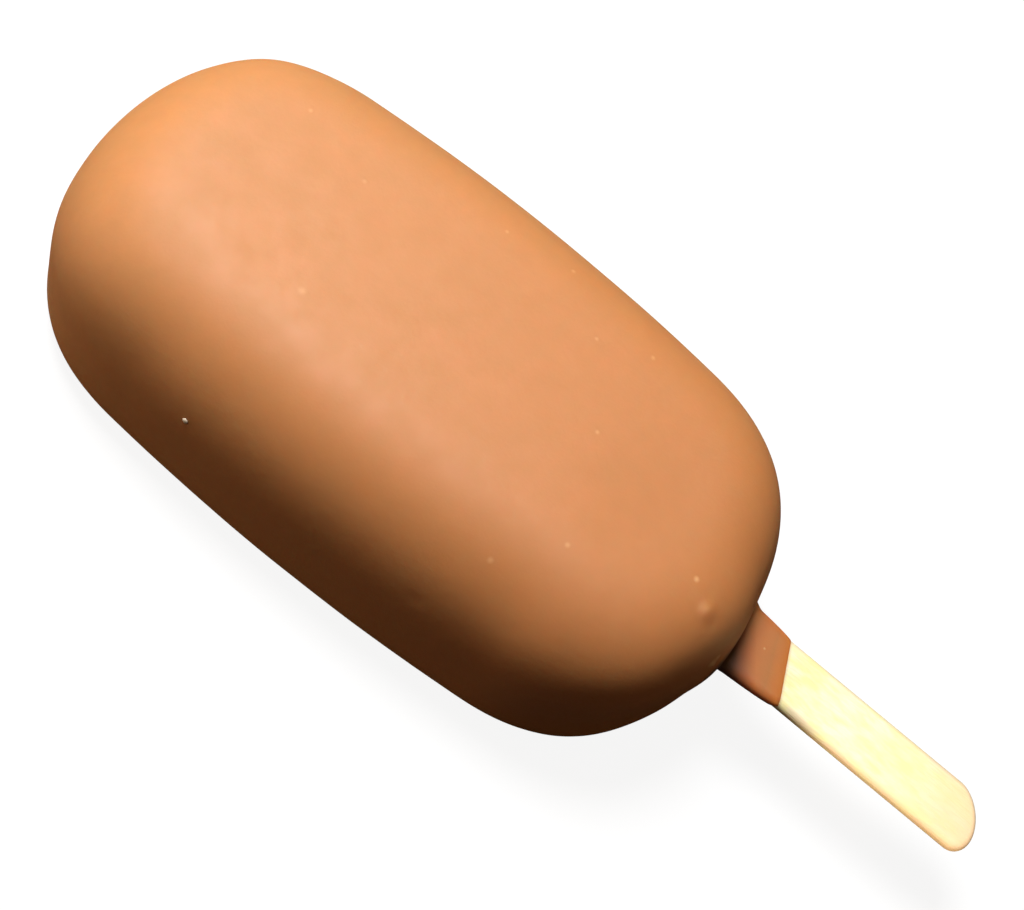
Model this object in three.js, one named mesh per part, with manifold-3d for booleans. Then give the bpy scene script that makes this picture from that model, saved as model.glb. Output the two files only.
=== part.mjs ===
// Ice cream bar: a chocolate-coated block on a flat wooden stick, lying on its flat back.
// Millimetres, +Z up. X runs along the stick, from the block towards the stick's free end.
// The origin is under the middle of the whole bar, on the surface it lies on.

import * as THREE from 'three';
import { LoftGeometry } from 'three/addons/geometries/LoftGeometry.js';
import { mergeVertices } from 'three/addons/utils/BufferGeometryUtils.js';
import Module from 'manifold-3d';

const wasm = await Module();
wasm.setup();

// Block, outline seen from above: a round end, its corners slightly squared, and a bowed side
const BLOCK_LENGTH = 96;
const BLOCK_WIDTH = 51.6;
const END_ARC_RADIUS = 24.6;
const END_SQUARENESS = 1.08;

// Block, section: flat back, small foot rounding, upright wall, deep shoulder, crowned top
const FOOT_RADIUS = 4.9;
const SHOULDER_TOP = 28.75;
const SHOULDER_INSET = 12.3;
const SHOULDER_DROP = 14.6;
const CROWN_RISE = 1.2;
const CROWN_FADE = 0.9;

// Swell of the block's end round the stick: height, middle across the block, reach to each side and back
const ROOT_SWELL = 0.95;
const ROOT_SWELL_CENTRE = -3.9;
const ROOT_SWELL_WIDTH = 10;
const ROOT_SWELL_LENGTH = 14.3;

// Stick
const STICK_WIDTH = 8.4;
const STICK_THICKNESS = 2;
const STICK_LENGTH = 93;
const STICK_SHOWING = 37.1;
const STICK_TURN = -0.9;
const STICK_HEIGHT = 14.4;
const STICK_END_ROUNDING = 3.3;
const STICK_TIP_SLANT = 0.25;
const STICK_EASED_EDGE = 0.4;

// Chocolate sleeve that the dip leaves on the root of the stick, thicker at the root of its long side
const SLEEVE_SHORT_SIDE = 5.7;
const SLEEVE_LONG_SIDE = 8.8;
const SLEEVE_ROOT_DEPTH = 6;
const SLEEVE_FILM = 0.25;
const SLEEVE_SIDE_SWELL = 0.6;
const FIT_GAP = 0.25;

// Drips that set on the shoulder: heading round the block, climb up the shoulder, size, height
const DRIPS = [
  { heading: -25, climb: 59, along: 1.3, across: 1.0, stands: 0.3 },
  { heading: -17, climb: 16, along: 0.7, across: 0.5, stands: 0.2 },
];

// Fineness of the faceted surfaces
const QUARTER_STEPS = 28;
const FOOT_STEPS = 4;
const WALL_STEPS = 3;
const SHOULDER_STEPS = 12;
const CROWN_STEPS = 5;
const CROWN_INNER_SCALE = 0.15;
const STICK_END_STEPS = 20;

const HALF_LENGTH = BLOCK_LENGTH / 2;
const HALF_WIDTH = BLOCK_WIDTH / 2;
const BLOCK_CENTRE_X = -STICK_SHOWING / 2;
const BLOCK_END_X = BLOCK_CENTRE_X + HALF_LENGTH;
const STICK_PLACE = new THREE.Matrix4()
  .makeTranslation(BLOCK_END_X, 0, STICK_HEIGHT)
  .multiply(new THREE.Matrix4().makeRotationZ(THREE.MathUtils.degToRad(STICK_TURN)));

// ---------------------------------------------------------------- block

// The side arc carries on from the end arc with no kink, and is widest at the middle of the block.
function quarterArcs() {
  const end = new THREE.Vector2(HALF_LENGTH - END_ARC_RADIUS, 0);
  const bow = HALF_WIDTH - END_ARC_RADIUS;
  const sideRadius = (end.x ** 2 + HALF_WIDTH ** 2 - END_ARC_RADIUS ** 2) / (2 * bow);
  const side = new THREE.Vector2(0, HALF_WIDTH - sideRadius);
  const join = end.clone().sub(side).angle();
  return [
    { centre: end, radius: END_ARC_RADIUS, from: 0, to: join },
    { centre: side, radius: sideRadius, from: join, to: Math.PI / 2 },
  ];
}

const ARCS = quarterArcs();

// Point of the quarter outline where the arcs' outward normal has this heading, 0 to 90 degrees in radians.
function quarterPoint(heading) {
  const arc = ARCS.find((a) => heading <= a.to + 1e-9);
  const normal = new THREE.Vector2(Math.cos(heading), Math.sin(heading));
  const reach = arc.radius + END_SQUARENESS * Math.sin(2 * heading) ** 2;
  return { point: arc.centre.clone().addScaledVector(normal, reach), normal };
}

// Headings that split the quarter outline into steps of equal length.
function quarterHeadings() {
  const total = ARCS.reduce((sum, a) => sum + a.radius * (a.to - a.from), 0);
  const headings = [];
  for (let i = 0; i < QUARTER_STEPS; i++) {
    let left = (total * i) / QUARTER_STEPS;
    for (const arc of ARCS) {
      const length = arc.radius * (arc.to - arc.from);
      if (left <= length) {
        headings.push(arc.from + left / arc.radius);
        break;
      }
      left -= length;
    }
  }
  return headings;
}

// The whole outline, anticlockwise, as points with their outward normals.
function outline() {
  const quarter = quarterHeadings().map(quarterPoint);
  const middle = quarterPoint(Math.PI / 2);
  const flip = (p, sx, sy) => ({
    point: new THREE.Vector2(p.point.x * sx, p.point.y * sy),
    normal: new THREE.Vector2(p.normal.x * sx, p.normal.y * sy),
  });
  const half = [...quarter, middle, ...quarter.slice(1).reverse().map((p) => flip(p, -1, 1))];
  return [...half, ...half.map((p) => flip(p, -1, -1))];
}

// The crown lifts the top in the middle, and fades out towards the back and the outline.
function crownLift(x, y, z) {
  const out = (x / HALF_LENGTH) ** 2 + (y / HALF_WIDTH) ** 2;
  return CROWN_RISE * (z / SHOULDER_TOP) * (1 - CROWN_FADE * out);
}

// How far the end swells out along the stick, fading to both sides of it and back along the block.
function rootSwell(x, y) {
  const aside = Math.min(Math.abs(y - ROOT_SWELL_CENTRE) / ROOT_SWELL_WIDTH, 1);
  const fade = THREE.MathUtils.smoothstep(x, HALF_LENGTH - ROOT_SWELL_LENGTH, HALF_LENGTH);
  return (ROOT_SWELL * fade * (1 + Math.cos(Math.PI * aside))) / 2;
}

// One ring of the block: the outline moved in, shrunk towards the middle, at a height.
function ring(inset, z, scale = 1) {
  return outline().map(({ point, normal }) => {
    const p = point.clone().addScaledVector(normal, -inset).multiplyScalar(scale);
    return new THREE.Vector3(p.x + rootSwell(p.x, p.y), p.y, z + crownLift(p.x, p.y, z));
  });
}

// Inset and height of the shoulder at a climb of 0 (wall) to 90 degrees (top), in radians.
function shoulder(climb) {
  return {
    inset: SHOULDER_INSET * (1 - Math.cos(climb)),
    z: SHOULDER_TOP - SHOULDER_DROP * (1 - Math.sin(climb)),
  };
}

function blockGeometry() {
  const rings = [];
  for (let i = 0; i <= FOOT_STEPS; i++) {
    const turn = (Math.PI / 2) * (i / FOOT_STEPS);
    rings.push(ring(FOOT_RADIUS * (1 - Math.sin(turn)), FOOT_RADIUS * (1 - Math.cos(turn))));
  }
  const wallTop = SHOULDER_TOP - SHOULDER_DROP;
  for (let i = 1; i < WALL_STEPS; i++) {
    rings.push(ring(0, FOOT_RADIUS + ((wallTop - FOOT_RADIUS) * i) / WALL_STEPS));
  }
  for (let i = 0; i <= SHOULDER_STEPS; i++) {
    const { inset, z } = shoulder((Math.PI / 2) * (i / SHOULDER_STEPS));
    rings.push(ring(inset, z));
  }
  for (let i = 1; i <= CROWN_STEPS; i++) {
    rings.push(ring(SHOULDER_INSET, SHOULDER_TOP, 1 - ((1 - CROWN_INNER_SCALE) * i) / CROWN_STEPS));
  }
  return new LoftGeometry(rings, { capStart: true, capEnd: true });
}

// A drip is a low flattened ball, half sunk in the shoulder, its short axis along the surface's normal.
function dripGeometry({ heading, climb, along, across, stands }) {
  const turn = THREE.MathUtils.degToRad(Math.abs(heading));
  const rise = THREE.MathUtils.degToRad(climb);
  const { point, normal } = quarterPoint(turn);
  const { inset, z } = shoulder(rise);
  const mirror = Math.sign(heading);
  const spot = point.addScaledVector(normal, -inset);
  const outward = new THREE.Vector3(
    normal.x * Math.cos(rise) * SHOULDER_DROP,
    mirror * normal.y * Math.cos(rise) * SHOULDER_DROP,
    Math.sin(rise) * SHOULDER_INSET,
  ).normalize();
  const ball = new THREE.SphereGeometry(1, 16, 10);
  ball.scale(across, along, stands * 2);
  ball.translate(0, 0, -stands);
  ball.applyQuaternion(new THREE.Quaternion().setFromUnitVectors(new THREE.Vector3(0, 0, 1), outward));
  const y = mirror * spot.y;
  ball.translate(spot.x + rootSwell(spot.x, y), y, z + crownLift(spot.x, y, z));
  return ball;
}

// ---------------------------------------------------------------- stick and sleeve

// A flat plate with eased edges, made from an outline that is the plate's full size.
function plateGeometry(points, thickness, ease) {
  const geometry = new THREE.ExtrudeGeometry(new THREE.Shape(points), {
    depth: thickness - 2 * ease,
    bevelEnabled: ease > 0,
    bevelThickness: ease,
    bevelSize: ease,
    bevelOffset: -ease,
    bevelSegments: 2,
  });
  return geometry.translate(0, 0, ease - thickness / 2);
}

// Stick and sleeve are drawn with x = 0 where the stick leaves the block, and then turned a little.

// Stick outline: a round inner end and a round tip whose two corners are cut back unequally.
// grow makes the same outline larger all round, for the slot that holds the stick.
function stickOutline(grow) {
  const half = STICK_WIDTH / 2;
  const tipBase = STICK_SHOWING - Math.hypot(STICK_END_ROUNDING, STICK_TIP_SLANT * half);
  const innerBase = STICK_SHOWING - STICK_LENGTH + STICK_END_ROUNDING;
  const points = [];
  for (let i = 0; i <= STICK_END_STEPS; i++) {
    const turn = Math.PI * (i / STICK_END_STEPS - 0.5);
    const x = (STICK_END_ROUNDING + grow) * Math.cos(turn) - STICK_TIP_SLANT * half * Math.sin(turn);
    points.push(new THREE.Vector2(tipBase + x, (half + grow) * Math.sin(turn)));
  }
  for (let i = 0; i <= STICK_END_STEPS; i++) {
    const turn = Math.PI * (i / STICK_END_STEPS + 0.5);
    const x = (STICK_END_ROUNDING + grow) * Math.cos(turn);
    points.push(new THREE.Vector2(innerBase + x, (half + grow) * Math.sin(turn)));
  }
  return points;
}

// Sleeve outline: from inside the block to the slanting line where the dip stopped.
function sleeveOutline() {
  const half = STICK_WIDTH / 2 + FIT_GAP + SLEEVE_FILM;
  return [
    new THREE.Vector2(-SLEEVE_ROOT_DEPTH, -half - SLEEVE_SIDE_SWELL),
    new THREE.Vector2(0, -half - SLEEVE_SIDE_SWELL),
    new THREE.Vector2(SLEEVE_LONG_SIDE, -half),
    new THREE.Vector2(SLEEVE_SHORT_SIDE, half),
    new THREE.Vector2(-SLEEVE_ROOT_DEPTH, half),
  ];
}

// ---------------------------------------------------------------- joining and cutting

function toSolid(geometry) {
  const bare = new THREE.BufferGeometry().copy(geometry);
  bare.deleteAttribute('normal');
  bare.deleteAttribute('uv');
  const merged = mergeVertices(bare, 1e-4);
  return new wasm.Manifold(new wasm.Mesh({
    numProp: 3,
    vertProperties: new Float32Array(merged.attributes.position.array),
    triVerts: new Uint32Array(merged.index.array),
  }));
}

function toGeometry(solid) {
  const mesh = solid.getMesh();
  const geometry = new THREE.BufferGeometry();
  geometry.setAttribute('position', new THREE.BufferAttribute(mesh.vertProperties, 3));
  geometry.setIndex(new THREE.BufferAttribute(mesh.triVerts, 1));
  geometry.computeVertexNormals();
  return geometry;
}

function coatedBlock() {
  const placed = (geometry) => toSolid(geometry.translate(BLOCK_CENTRE_X, 0, 0));
  const onStick = (geometry) => toSolid(geometry.applyMatrix4(STICK_PLACE));
  const sleeveThickness = STICK_THICKNESS + 2 * (FIT_GAP + SLEEVE_FILM);
  const sleeve = onStick(plateGeometry(sleeveOutline(), sleeveThickness, STICK_EASED_EDGE));
  const slot = onStick(plateGeometry(stickOutline(FIT_GAP), STICK_THICKNESS + 2 * FIT_GAP, 0));
  let solid = placed(blockGeometry()).add(sleeve);
  for (const drip of DRIPS) {
    solid = solid.add(placed(dripGeometry(drip)));
  }
  return toGeometry(solid.subtract(slot));
}

// ---------------------------------------------------------------- the bar

const chocolate = new THREE.MeshStandardMaterial({ color: 0xb9774a, roughness: 0.45, metalness: 0 });
const wood = new THREE.MeshStandardMaterial({ color: 0xe8cf9c, roughness: 0.75, metalness: 0 });

const block = new THREE.Mesh(coatedBlock(), chocolate);
block.name = 'chocolate_bar';

const stick = new THREE.Mesh(plateGeometry(stickOutline(0), STICK_THICKNESS, STICK_EASED_EDGE), wood);
stick.name = 'wooden_stick';
stick.applyMatrix4(STICK_PLACE);

const group = new THREE.Group();
group.add(block, stick);

export default group;
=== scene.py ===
"""The looks of an ice cream bar: its milk-chocolate coat, its bare wooden stick and the small marks on them.

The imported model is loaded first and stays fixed, and each new piece stands for one of its nodes.
Metres, +Z up. X runs along the stick, towards its free end, and the bar lies on its flat back.
"""

import math

import bpy
from bpy.props import FloatProperty, FloatVectorProperty, PointerProperty
from mathutils import Matrix, Vector


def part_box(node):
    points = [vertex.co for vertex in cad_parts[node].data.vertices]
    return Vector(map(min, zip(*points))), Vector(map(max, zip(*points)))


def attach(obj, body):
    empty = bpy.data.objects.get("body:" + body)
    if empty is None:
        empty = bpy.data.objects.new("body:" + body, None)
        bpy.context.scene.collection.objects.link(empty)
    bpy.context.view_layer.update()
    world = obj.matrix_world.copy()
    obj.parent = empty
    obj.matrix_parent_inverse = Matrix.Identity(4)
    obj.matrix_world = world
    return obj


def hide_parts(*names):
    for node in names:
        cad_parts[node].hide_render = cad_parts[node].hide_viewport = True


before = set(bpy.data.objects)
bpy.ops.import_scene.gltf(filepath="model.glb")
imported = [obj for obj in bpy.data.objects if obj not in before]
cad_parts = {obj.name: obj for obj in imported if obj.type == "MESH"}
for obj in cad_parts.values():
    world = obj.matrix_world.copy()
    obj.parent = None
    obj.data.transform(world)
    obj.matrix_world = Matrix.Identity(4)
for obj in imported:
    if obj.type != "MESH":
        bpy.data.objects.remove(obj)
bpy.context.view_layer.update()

BAR_LOW, BAR_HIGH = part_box("chocolate_bar")
STICK_LOW, STICK_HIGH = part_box("wooden_stick")

bl_info = {
    "name": "Ice Cream Bar",
    "version": (1, 0, 0),
    "blender": (4, 5, 0),
    "location": "View3D > Sidebar > Ice Cream Bar",
    "description": "A milk-chocolate coated ice cream bar on a flat wooden stick",
    "category": "Add Mesh",
}

MM = 0.001
QUARTER_TURN = math.pi / 2
WHITE = (1, 1, 1)

# Fineness of the modelled surfaces
PLAN_STEPS = 34
WALL_STEPS = 4
FOOT_STEPS = 4
SHOULDER_STEPS = 16
END_SPAN = 22
SMOOTHING_LEVELS = 2
SECTION_CORNER_STEPS = 7
SECTION_FLAT_STEPS = 16
SECTION_EDGE_STEPS = 2
SLEEVE_RINGS = 48
LIP_STEPS = 5
STICK_ROUND_STEPS = 48
STICK_EDGE_STEPS = 8
DROP_SUBDIVISIONS = 3

# Angles in degrees past which an edge is shaded sharp, or is rounded
COAT_SHARP = 45
STICK_SHARP = 30
DROP_SHARP = 60
STICK_EDGE_ANGLE = 60

# Upward share of a face's normal past which it counts as level
LEVEL = 0.999

# The stage: how softly the spot's cone fades out, the floor's roughness, and the camera's near limit
SPOT_BLEND = 0.35
FLOOR_DULLNESS = 0.9
CAMERA_START = 10 * MM

# Level of the cloudy relief that leaves the surface where it is
RELIEF_LEVEL = 0.5

# Overlaps and clearances
SLEEVE_ROOT_DEPTH = 3 * MM
STICK_CLEARANCE = 0.02 * MM

# The corner between the block's end and the sleeve: its reach from the stick and along it, and its smoothing
CORNER_OUT = 1.2 * MM
CORNER_ALONG = 0.6 * MM
CORNER_PASSES = 2
CORNER_EASE = 0.5

# Sizes of the coat's patterns, and how far its low swells and its grain stand out
BLOTCH_SIZE = 9 * MM
PATCH_SIZE = 3 * MM
SWELL_SIZE = 1.8 * MM
SWELL_RISE = 0.012 * MM
GRAIN_SIZE = 0.35 * MM
GRAIN_RISE = 0.004 * MM

# How much of the tan colour the patches take on at most, and how much duller they are
PATCH_SHARE = 0.5
PATCH_DULLING = 0.08

# How much of the near end's colour the coat has taken on where the stick leaves it
NEAR_END_SHARE = 0.4

# Length over which the coat's colour turns to the film's, past the block's end
FILM_FADE = 2 * MM

# Painted shade at the stick's root, standing for the block's shadow on the sleeve: where it starts and ends
# past the block's end, its fade, and its lean to -Y
ROOT_SHADE_START = -0.6 * MM
ROOT_SHADE_END = 2.6 * MM
ROOT_SHADE_REACH = 3.6 * MM
ROOT_SHADE_LEAN = 0.6

# Band short of the sleeve's edge where the wood shows through, and how much wider it gets across the stick
THIN_FILM_RANGE = (-2 * MM, -0.2 * MM)
THIN_FILM_LEAN = 0.07

# The same along the +Y edge of the sleeve: length of the orange line, and the depth over which it fades in
THIN_EDGE_LENGTH = 2.8 * MM
THIN_EDGE_FADE = 0.15 * MM

# The wood's patterns: size, detail, stretch along the stick and contrast
STREAKS = {"size_of_blotch": 1 * MM, "detail": 4, "stretch": (0.35, 1, 1), "contrast": 0.15}
FIBRES = {"size_of_blotch": 0.22 * MM, "detail": 3, "stretch": (0.08, 1, 1), "contrast": 0.16}
FIBRE_RISE = 0.02 * MM
WOOD_DULLNESS = 0.75
FIBRE_DULLNESS = (0.68, 0.82)

# Level from which the fibres darken the wood, and how much of their colour they give at most
FIBRE_FROM = 0.55
FIBRE_SHARE = 0.22

# How much of the edges' tan is left within the yellow streaks
SIDE_SHARE_IN_STREAKS = 0.2

# Share of the showing length where the tip's colour starts, and how much of it there is at the end
TIP_FROM = 0.5
TIP_SHARE = 0.85

# The smear past the sleeve: its length, and how much of its colour there is at the sleeve
SMEAR_LENGTH = 0.35 * MM
SMEAR_SHARE = 0.5


# ---------------------------------------------------------------- sizes and colours


def size(name, description, default):
    """A length that a user may change."""
    return FloatProperty(name=name, description=description, default=default, unit="LENGTH", precision=5)


def share(name, description, default):
    """A number from 0 to 1 that a user may change."""
    return FloatProperty(name=name, description=description, default=default, min=0, max=1, subtype="FACTOR")


def location(name, description, *millimetres):
    """A point that a user may change, given in millimetres."""
    default = [value * MM for value in millimetres]
    return FloatVectorProperty(
        name=name, description=description, default=default, size=3, subtype="TRANSLATION", unit="LENGTH"
    )


def angle(name, description, degrees):
    """An angle that a user may change."""
    return FloatProperty(name=name, description=description, default=math.radians(degrees), subtype="ANGLE")


def colour(name, description, default):
    """A colour that a user may change."""
    return FloatVectorProperty(
        name=name, description=description, default=default, size=3, min=0, max=1, subtype="COLOR"
    )


def number(name, description, default):
    """A plain number that a user may change."""
    return FloatProperty(name=name, description=description, default=default)


def power(name, description, watts):
    """A light's power that a user may change."""
    return FloatProperty(name=name, description=description, default=watts, unit="POWER")


def light_reach(*millimetres):
    """How far each colour of light goes into a material, which a user may change."""
    description = "How far red, green and blue light goes, in millimetres"
    return FloatVectorProperty(name="Glow reach", description=description, default=millimetres, size=3)


class BlockSizes(bpy.types.PropertyGroup):
    """The coated block without its stick."""

    length: size("Length", "Length of the block", 96 * MM)
    end_radius: size("End radius", "Radius of the round ends, seen from above", 24.6 * MM)
    end_squareness: size("End squareness", "How far the ends' corners stand out from the round", 1.08 * MM)
    foot_radius: size("Foot radius", "Rounding where the side meets the back", 4.9 * MM)
    shoulder_inset: size("Shoulder inset", "How far the shoulder reaches in over the top", 13.8 * MM)
    shoulder_drop: size("Shoulder drop", "How far the shoulder comes down the side", 16.4 * MM)
    shoulder_fullness: number("Shoulder fullness", "2 is a plain elliptical shoulder, more is fuller", 2.3)
    crown_rise: size("Crown rise", "How far the middle of the top is lifted", 1.2 * MM)
    crown_fade: share("Crown fade", "How much of the lift is lost towards the rim", 0.9)
    root_swell: size("Root swell", "How far the end swells out round the stick", 0.75 * MM)
    root_swell_centre: size("Root swell centre", "Place of that swell across the block", -5.2 * MM)
    root_swell_width: size("Root swell width", "Reach of that swell to each side", 10 * MM)
    root_swell_length: size("Root swell length", "Reach of that swell back along the block", 14.3 * MM)


class CoatSizes(bpy.types.PropertyGroup):
    """The chocolate coat's own unevenness, and the sleeve that it leaves on the stick."""

    wave_grain: size("Wave grain", "Width of the slow waves in the coat", 17 * MM)
    wave_depth: size("Wave depth", "Depth of the slow waves in the coat", 0.12 * MM)
    ripple_grain: size("Ripple grain", "Width of the small ripples in the coat", 4 * MM)
    ripple_depth: size("Ripple depth", "Depth of the small ripples in the coat", 0.012 * MM)
    sleeve_short_side: size("Sleeve, short side", "Reach of the sleeve along the stick's +Y edge", 5.7 * MM)
    sleeve_long_side: size("Sleeve, long side", "Reach of the sleeve along the stick's -Y edge", 8.8 * MM)
    sleeve_corner: size("Sleeve corner", "Height of its sharp corners above the stick's middle", 0.45 * MM)
    sleeve_lean_above: share("Sleeve lean above", "How much it gains for each length down to them", 0.2)
    sleeve_lean: share("Sleeve lean", "How much it loses for each length down from them", 0.9)
    film_at_edge: size("Film at the edge", "Thickness of the film where the dip stopped", 0.05 * MM)
    film_on_faces: size("Film on the faces", "Its thickness on the stick's faces, at the root", 0.36 * MM)
    film_short_side: size("Film, short side", "Its thickness on the stick's +Y edge, at the root", 0.75 * MM)
    film_long_side: size("Film, long side", "Its thickness on the stick's -Y edge, at the root", 0.9 * MM)
    film_swell: share("Film swell", "Below 1, the film swells out between its root and its edge", 0.6)
    root_flare: size("Root flare", "How far the film flares where it meets the block", 0.7 * MM)
    root_flare_length: size("Root flare length", "Length along the stick of that flare", 1.5 * MM)
    flare_elsewhere: share("Flare elsewhere", "How much of the flare is left away from the +Y edge", 0.15)


class StickSizes(bpy.types.PropertyGroup):
    """The flat wooden stick."""

    width: size("Width", "Width of the stick", 8.4 * MM)
    length: size("Length", "Whole length of the stick", 93 * MM)
    turn: angle("Turn", "How far the stick is turned from the block's axis", -0.9)
    end_rounding: size("End rounding", "Depth of the round ends", 3.3 * MM)
    tip_slant: share("Tip slant", "How much more one corner of the tip is cut back", 0.25)
    eased_edge: size("Eased edge", "Rounding of the long edges", 0.95 * MM)


class ChocolateFinish(bpy.types.PropertyGroup):
    """Colours of the coat."""

    milk: colour("Milk chocolate", "Main colour of the coat", (0.572, 0.244, 0.077))
    rosy: colour("Rosy blotch", "Colour of the warmer blotches", (0.605, 0.2465, 0.077))
    tan: colour("Tan blotch", "Colour of the duller blotches", (0.515, 0.2325, 0.074))
    near_end: colour("Near end", "Colour that the coat takes on towards the stick", (0.572, 0.173, 0.037))
    film: colour("Film", "Colour of the thin film on the stick", (0.62, 0.172, 0.040))
    thin_film: colour("Thin film", "Colour where the wood shows through the film", (1, 0.18, 0.018))
    # Painted shade: a dark colour at the stick's root that stands for the block's shadow on the sleeve
    pool: colour("Pool", "Colour of the thick chocolate at the stick's root", (0.12, 0.04, 0.012))
    # Also gives the painted highlight on the large drip its colour
    fleck: colour("Fleck", "Colour of the small pale flecks", (0.76, 0.42, 0.19))
    drop: colour("Drop", "Colour of the milk drop", (0.88, 0.76, 0.60))
    shine: share("Shine", "How much light the coat throws straight back, 0.5 as plain wax does", 0.8)
    dull: share("Dullness", "Roughness of the coat where it is smoothest", 0.62)
    glow: share("Glow", "How much of the light goes through the chocolate before it comes out", 0.6)
    glow_reach: light_reach(2.5, 1.0, 0.5)


class WoodFinish(bpy.types.PropertyGroup):
    """Colours of the stick."""

    pale: colour("Pale wood", "Main colour of the wood", (0.98, 0.95, 0.67))
    streak: colour("Streak", "Colour of the yellow streaks in the wood", (0.98, 0.91, 0.45))
    fibre: colour("Fibre", "Colour of the thin dark fibres", (0.80, 0.62, 0.34))
    side: colour("Side", "Colour of the stick's rounded long edges", (0.92, 0.68, 0.42))
    tip: colour("Tip", "Colour of the stick towards its free end", (0.98, 0.68, 0.43))
    smear: colour("Smear", "Colour of the wood just past the sleeve", (0.62, 0.36, 0.22))
    glow: share("Glow", "How much of the light goes through the wood before it comes out", 0.1)
    glow_reach: light_reach(0.8, 0.5, 0.3)


class StageLook(bpy.types.PropertyGroup):
    """Floor, light and camera."""

    key_power: power("Key power", "Power of the key light", 2.08)
    key_width: size("Key width", "Diameter of the key light", 170 * MM)
    key_place: location("Key place", "Place of the key light from the block's middle", -136, 49, 376)
    fill_power: power("Fill power", "Power of the fill light", 0.36)
    fill: colour("Fill", "Colour of the fill light", (1, 0.72, 0.45))
    fill_width: size("Fill width", "Diameter of the fill light", 150 * MM)
    fill_place: location("Fill place", "Place of the fill light from the block's middle", -311.7, -120, 30)
    accent_power: power("Accent power", "Power of the stick's spot", 2.6)
    accent: colour("Accent", "Colour of the stick's spot", (1, 0.8, 0.55))
    accent_width: size("Accent width", "Diameter of the stick's spot", 8 * MM)
    accent_cone: angle("Accent cone", "Opening of the spot's cone", 5.3)
    accent_place: location("Accent place", "Place of the spot from the block's middle", 124, -280, 134.5)
    accent_aim: location("Accent aim", "Point that it is aimed at, from the block's middle", 74, 0, 14.5)
    sky_strength: number("Sky strength", "Strength of the even light", 0.095)
    sky: colour("Sky", "Colour of the even light", (1, 0.68, 0.3))
    floor_width: size("Floor width", "Width of the floor", 6)
    floor_glow: number("Floor glow", "Light that the floor gives to the eye", 0.9)
    floor: colour("Floor", "Colour that the floor shows to the eye", (0.12, 0.12, 0.12))
    floor_bounce: colour("Floor bounce", "Colour of the light that the floor throws back", (0.02, 0.02, 0.03))
    lens: number("Lens", "Focal length in millimetres", 58.68)
    camera_place: location("Camera place", "Its place from the block's middle", 15.05, -106.25, 184.9)
    camera_aim: location("Camera aim", "Point that it looks at, from the block's middle", 13.54, 0.01, 14.375)
    camera_roll: angle("Camera roll", "How far the camera is turned about its line of sight", 38.87)


class BarSettings(bpy.types.PropertyGroup):
    """All settings of the bar."""

    block: PointerProperty(type=BlockSizes)
    coat: PointerProperty(type=CoatSizes)
    stick: PointerProperty(type=StickSizes)
    chocolate: PointerProperty(type=ChocolateFinish)
    wood: PointerProperty(type=WoodFinish)
    stage: PointerProperty(type=StageLook)


# Swells and dents of the coat, in millimetres: place from the block's middle and underside, reach and height
PUSHES = [
    {"name": "fuller corner at the near end", "place": (34.0, -20.5, 20.0), "reach": 14.0, "height": 0.5},
    {"name": "full shoulder at the near end", "place": (40.0, -14.0, 24.5), "reach": 12.0, "height": 0.5},
    {"name": "full corner of that shoulder", "place": (41.0, -17.0, 20.5), "reach": 11.0, "height": 0.5},
    {"name": "full shoulder over the root", "place": (43.5, -6.0, 25.0), "reach": 10.0, "height": 0.4},
    {"name": "lower top at the near end", "place": (34.0, -3.0, 29.4), "reach": 15.0, "height": -0.5},
    {"name": "slacker side at the far end", "place": (-29.0, -23.6, 17.0), "reach": 12.0, "height": -0.35},
    {"name": "swell at the far end", "place": (-45.2, -13.0, 13.0), "reach": 9.0, "height": 0.26},
    {"name": "swell over the far end", "place": (-38.5, 16.0, 24.5), "reach": 8.0, "height": 0.2},
    {"name": "swell under the root", "place": (47.8, -7.3, 15.0), "reach": 5.0, "height": 0.2},
    {"name": "large drip", "place": (41.4, -7.85, 27.2), "reach": 1.9, "height": 0.23},
    {"name": "tail of the large drip", "place": (39.6, -7.2, 27.9), "reach": 1.6, "height": 0.05},
    {"name": "small drip", "place": (46.5, -8.3, 19.9), "reach": 0.7, "height": 0.25},
    {"name": "dimple in the side", "place": (15.5, -24.9, 17.8), "reach": 1.8, "height": -0.05},
]

# Pale flecks in the coat, and a painted highlight on the large drip: place along and across from the block's
# middle, width (in millimetres) and paleness
FLECKS_AND_HIGHLIGHT = [
    {"along": -29.7, "across": 10.1, "width": 0.8, "paleness": 0.5},
    {"along": -19.3, "across": 6.8, "width": 0.9, "paleness": 0.3},
    {"along": -15.5, "across": -10.0, "width": 1.5, "paleness": 0.35},
    {"along": -3.3, "across": 14.2, "width": 0.8, "paleness": 0.5},
    {"along": 5.6, "across": 16.2, "width": 0.9, "paleness": 0.5},
    {"along": 12.8, "across": 10.1, "width": 0.8, "paleness": 0.5},
    {"along": 19.3, "across": 13.3, "width": 0.9, "paleness": 0.5},
    {"along": 19.5, "across": -0.1, "width": 0.8, "paleness": 0.5},
    {"along": 24.5, "across": -13.7, "width": 1.0, "paleness": 0.5},
    {"along": 19.0, "across": -19.7, "width": 1.1, "paleness": 0.5},
    {"along": 38.3, "across": -6.2, "width": 1.1, "paleness": 1.0},
    # Painted highlight: a pale patch on the large drip where it catches the light
    {"along": 41.0, "across": -8.05, "width": 2.4, "paleness": 0.24},
    {"along": 46.5, "across": -8.5, "width": 2.2, "paleness": 1.0},
    {"along": 46.5, "across": -7.9, "width": 1.6, "paleness": 1.0},
    {"along": 51.6, "across": 0.3, "width": 0.5, "paleness": 0.8},
]
FLECK_RISE = 0.05 * MM

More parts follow.
